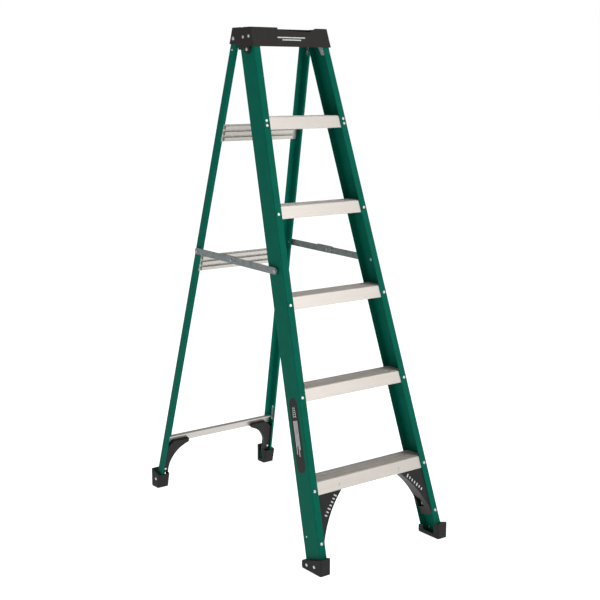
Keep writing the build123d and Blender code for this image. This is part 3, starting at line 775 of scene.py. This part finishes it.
@dataclass
class Prints:
    """Plain marks in place of printed words: on the side films, the cap, the braces and the rear film."""

    front: LeaningFrame
    rear: LeaningFrame
    ink: float = 0.12 * MM
    line: float = 1.8 * MM
    rung_pitch: float = 7.0 * MM
    picture_at: float = 76.0 * MM
    picture_rungs: int = 5
    stile_turn: float = 0.08
    row_pitch: float = 6.0 * MM
    row_lengths: Sequence[float] = (96.0 * MM, 118.0 * MM, 84.0 * MM, 110.0 * MM)
    cap_drop: float = 37.0 * MM
    cap_field: tuple[float, float] = (190.0 * MM, 26.0 * MM)
    cap_bars: Sequence[tuple[float, float]] = ((0.62, 0.14), (0.42, -0.18))
    cap_bar_width: float = 0.16
    brace_row: Sequence[tuple[float, float]] = ((0.160, 0.240), (0.211, 0.184))
    brace_marks: int = 7
    tall_marks: Sequence[int] = (0, 4)
    mark_width: float = 4.5 * MM
    mark_heights: tuple[float, float] = (9.0 * MM, 12.0 * MM)
    mark_turn: float = 0.15
    rear_bars: Sequence[tuple[float, float]] = ((-2.5 * MM, 50.0 * MM), (2.5 * MM, 42.0 * MM))
    reach: float = 0.5

    def build(self) -> None:
        """Add every mark."""
        white = FilmFinish("print_white", (0.66, 0.68, 0.67)).build()
        grey = FilmFinish("print_grey", (0.20, 0.21, 0.21)).build()
        for name in both("side_label"):
            self._film(name, white)
        self._cap(white)
        for name in both("front_knee_brace"):
            self._brace(name, white)
        self._rear(grey)

    def _board(self, name: str, start: Vector, heading: Vector, along: Vector) -> Board:
        """Board on the face of a node that a line meets first.

        Args:
            name: the node.
            start: start of the line.
            heading: its direction.
            along: direction that the board's u axis follows.

        Returns:
            The board.
        """
        node = node_of(name)
        home = node.matrix_world.inverted()
        hit, place, facing, _ = node.ray_cast(home @ start, home.to_3x3() @ heading)
        if not hit:
            raise RuntimeError(f"{name}: the line meets no surface")
        normal = (node.matrix_world.to_3x3() @ facing).normalized()
        u = (along - normal * normal.dot(along)).normalized()
        return Board(node.matrix_world @ place, u, normal.cross(u))

    def _film(self, name: str, material: bpy.types.Material) -> None:
        """A small picture of a ladder and rows of plain bars on a side film."""
        lo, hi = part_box(name)
        middle = (lo + hi) / 2
        side = math.copysign(1.0, middle.x)
        board = self._board(name, middle + Vector((side * self.reach, 0, 0)), Vector((-side, 0, 0)), self.front.up)
        work = Workpiece(f"{name}_print")
        for stile in (-1, 1):
            work.block((self.picture_rungs * self.rung_pitch, self.line, self.ink),
                       board.matrix(self.picture_at, stile * self.row_pitch, self.ink / 2, -stile * self.stile_turn))
        for rung in range(-(self.picture_rungs // 2), self.picture_rungs // 2 + 1):
            work.block((self.line, 2 * self.row_pitch, self.ink),
                       board.matrix(self.picture_at + rung * self.rung_pitch, 0.0, self.ink / 2))
        start = self.picture_at - (self.picture_rungs - 1) * self.rung_pitch
        for row, length in enumerate(self.row_lengths):
            across = (row - (len(self.row_lengths) - 1) / 2) * self.row_pitch
            work.block((length, 2 * self.line, self.ink), board.matrix(start - length / 2, across, self.ink / 2))
        work.finish(material, "front_frame")

    def _cap(self, material: bpy.types.Material) -> None:
        """Two plain bars on the front of the cap."""
        lo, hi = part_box("top_cap")
        start = Vector((0.0, lo.y - self.reach, hi.z - self.cap_drop))
        board = self._board("top_cap", start, Vector((0, 1, 0)), Vector((1, 0, 0)))
        length, width = self.cap_field
        work = Workpiece("cap_print")
        for share, across in self.cap_bars:
            work.block((length * share, width * self.cap_bar_width, self.ink),
                       board.matrix(0.0, width * across, self.ink / 2))
        work.finish(material, "front_frame")

    def _brace(self, name: str, material: bpy.types.Material) -> None:
        """A slanting row of plain bars on the front plate of a knee brace."""
        lo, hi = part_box(name)
        side = math.copysign(1.0, lo.x + hi.x)
        ends = [self.front.point(side * x, -self.reach, slope) for x, slope in self.brace_row]
        work = Workpiece(f"{name}_print")
        for mark in range(self.brace_marks):
            start = ends[0].lerp(ends[1], mark / (self.brace_marks - 1))
            board = self._board(name, start, self.front.back, ends[1] - ends[0])
            work.block((self.mark_width, self.mark_heights[mark in self.tall_marks], self.ink),
                       board.matrix(0.0, 0.0, self.ink / 2, self.mark_turn))
        work.finish(material, "front_frame")

    def _rear(self, material: bpy.types.Material) -> None:
        """Two plain bars on the small film inside the rear rail."""
        name = "rear_rail_label"
        lo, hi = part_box(name)
        middle = (lo + hi) / 2
        side = math.copysign(1.0, middle.x)
        board = self._board(name, Vector((0.0, middle.y, middle.z)), Vector((side, 0, 0)), self.rear.up)
        work = Workpiece(f"{name}_print")
        for across, length in self.rear_bars:
            work.block((length, 2 * self.line, self.ink), board.matrix(0.0, across, self.ink / 2))
        work.finish(material, "rear_frame")


@dataclass(frozen=True)
class Lamp:
    """One square area light."""

    name: str
    place: tuple[float, float, float]
    target: tuple[float, float, float]
    size: float
    power: float


@dataclass
class Studio:
    """Pale floor, soft lights and the camera."""

    lamps: Sequence[Lamp] = (Lamp("key", (1.6, -4.2, 2.6), (0.0, 0.0, 0.8), 3.0, 95.0),
                             Lamp("fill", (-4.2, -0.6, 2.2), (0.0, 0.0, 0.8), 3.0, 9.0),
                             Lamp("top", (0.0, 0.2, 4.4), (0.0, 0.0, 0.0), 3.0, 28.0))
    floor_half: float = 30.0
    floor_shade: float = 0.80
    floor_glow: float = 0.85
    camera_at: tuple[float, float, float] = (-2.4290, -3.2792, 1.5683)
    camera_turn: tuple[float, float, float] = (79.233, 0.0, -37.047)
    lens: float = 69.41
    world_light: float = 0.28

    def build(self) -> None:
        """Make the floor, the lights and the camera."""
        self._floor()
        self._world()
        for lamp in self.lamps:
            self._light(lamp)
        self._camera()
        bpy.context.scene.view_settings.view_transform = "Standard"

    def _floor(self) -> None:
        """A wide pale floor."""
        mesh = bmesh.new()
        bmesh.ops.create_grid(mesh, x_segments=1, y_segments=1, size=self.floor_half)
        data = bpy.data.meshes.new("floor")
        mesh.to_mesh(data)
        mesh.free()
        floor = bpy.data.objects.new("floor", data)
        bpy.context.scene.collection.objects.link(floor)
        tree = Tree("floor_paint")
        data.materials.append(tree.surface(Base_Color=(self.floor_shade,) * 3 + (1.0,), Roughness=0.9,
                                           Specular_IOR_Level=0.05, Emission_Color=(1.0, 1.0, 1.0, 1.0),
                                           Emission_Strength=self.floor_glow))

    def _world(self) -> None:
        """White surroundings that the camera sees brighter than they light the ladder."""
        world = bpy.data.worlds.new("studio")
        bpy.context.scene.world = world
        world.use_nodes = True
        background = world.node_tree.nodes["Background"]
        background.inputs["Color"].default_value = (1.0, 1.0, 1.0, 1.0)
        path = world.node_tree.nodes.new("ShaderNodeLightPath")
        strength = world.node_tree.nodes.new("ShaderNodeMapRange")
        strength.inputs["To Min"].default_value = self.world_light
        strength.inputs["To Max"].default_value = 1.0
        world.node_tree.links.new(path.outputs["Is Camera Ray"], strength.inputs["Value"])
        world.node_tree.links.new(strength.outputs["Result"], background.inputs["Strength"])

    def _light(self, lamp: Lamp) -> None:
        """Add one area light that points at its target.

        Args:
            lamp: the light's name, place, target, size and power.
        """
        data = bpy.data.lights.new(lamp.name, "AREA")
        data.shape = "SQUARE"
        data.size = lamp.size
        data.energy = lamp.power
        light = bpy.data.objects.new(lamp.name, data)
        light.location = lamp.place
        aim = Vector(lamp.target) - Vector(lamp.place)
        light.rotation_euler = aim.to_track_quat("-Z", "Y").to_euler()
        bpy.context.scene.collection.objects.link(light)

    def _camera(self) -> None:
        """The camera, with depth of field off."""
        data = bpy.data.cameras.new("camera")
        data.lens = self.lens
        data.sensor_width = 36.0
        data.dof.use_dof = False
        camera = bpy.data.objects.new("camera", data)
        camera.location = self.camera_at
        camera.rotation_euler = [math.radians(a) for a in self.camera_turn]
        bpy.context.scene.collection.objects.link(camera)
        bpy.context.scene.camera = camera


def main() -> None:
    """Build the sub-assemblies in order."""
    logging.basicConfig(level=logging.INFO, format="%(name)s: %(message)s")
    front = LeaningFrame.measured("step_1", "step_5", "front_rail_right", 0.0)
    rear = LeaningFrame.measured("rear_horizontal_middle", "rear_horizontal_upper", "rear_rail_right", REAR_WEB)
    FrontFrame(front).build()
    Steps(front).build()
    TopCap().build()
    Feet().build()
    RearFrame(rear).build()
    Spreaders().build()
    Fasteners().build()
    Labels().build()
    Prints(front, rear).build()
    Studio().build()


if __name__ == "__main__":
    main()
